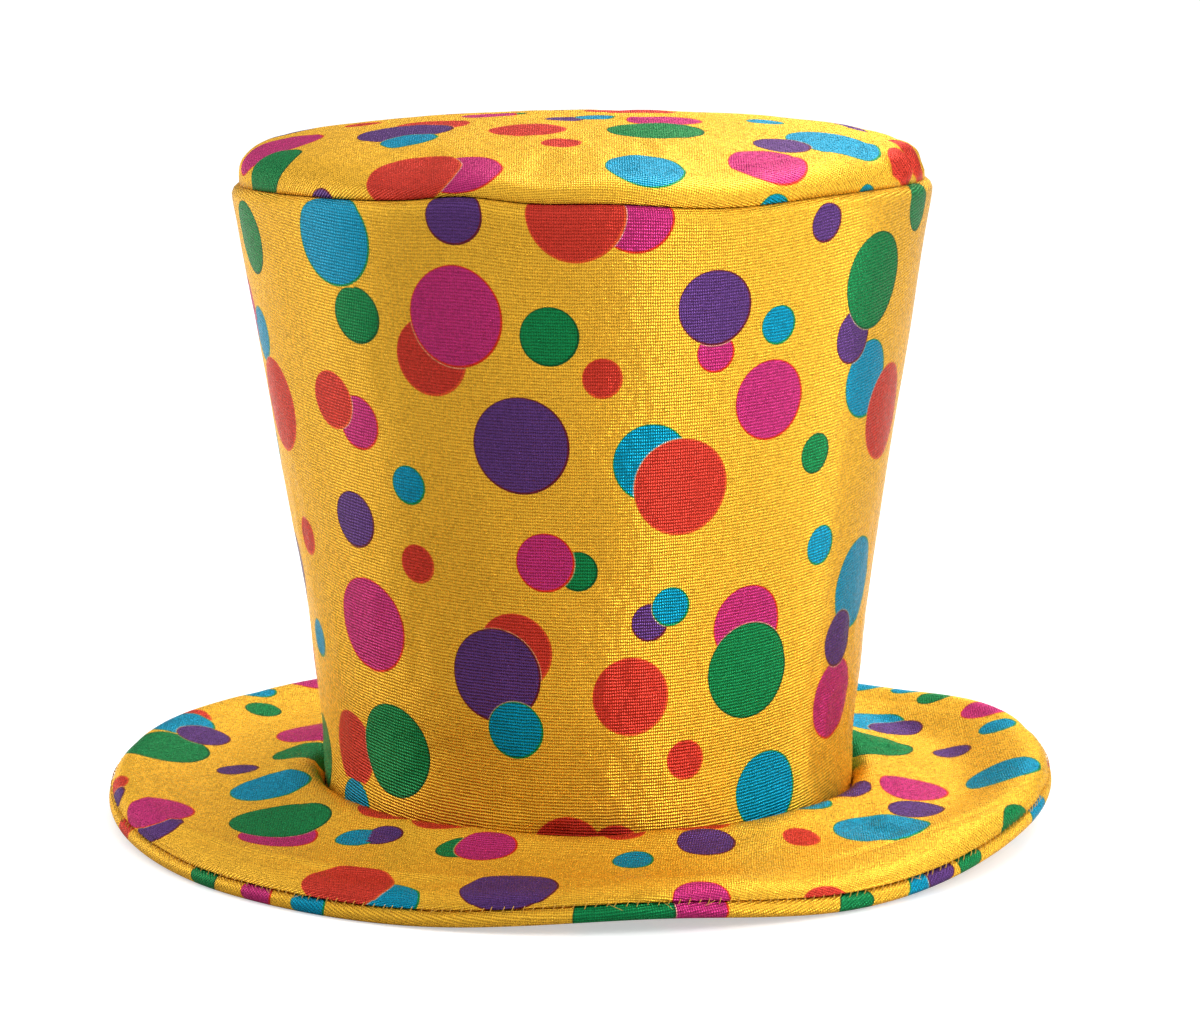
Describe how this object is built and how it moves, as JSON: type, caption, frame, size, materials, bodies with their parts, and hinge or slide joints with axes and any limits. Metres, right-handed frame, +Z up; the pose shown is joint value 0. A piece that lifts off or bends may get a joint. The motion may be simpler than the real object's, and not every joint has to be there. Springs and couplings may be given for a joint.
{
  "type": "foam clown top hat",
  "caption": "Tall foam top hat with a crown that widens upwards, a domed tip and a padded, gently waved brim, covered in yellow satin knit with printed polka dots.",
  "frame": {"origin": "middle of the brim's round outline, on the surface that the brim rests on", "axes": "+Z up through the crown, -Y towards the front, +X towards the right as seen from the front"},
  "size_m": [0.356, 0.356, 0.2617],
  "materials": {
    "brim_cloth": "printed satin knit laminated to soft foam, yellow with polka dots in six colours",
    "crown_cloth": "printed satin knit laminated to soft foam, yellow with polka dots in six colours, plain foam inside",
    "tip_cloth": "printed satin knit laminated to soft foam, yellow with polka dots in six colours, plain foam inside",
    "foam_back": "bare open-cell foam with a thin knitted scrim, inside the crown",
    "sewing_thread": "polyester sewing thread in the seams"
  },
  "bodies": {
    "root": {"brim_underside": "brim_cloth", "brim_top": "brim_cloth", "crown_wall": "crown_cloth", "tip": "tip_cloth"}
  },
  "joints": []
}
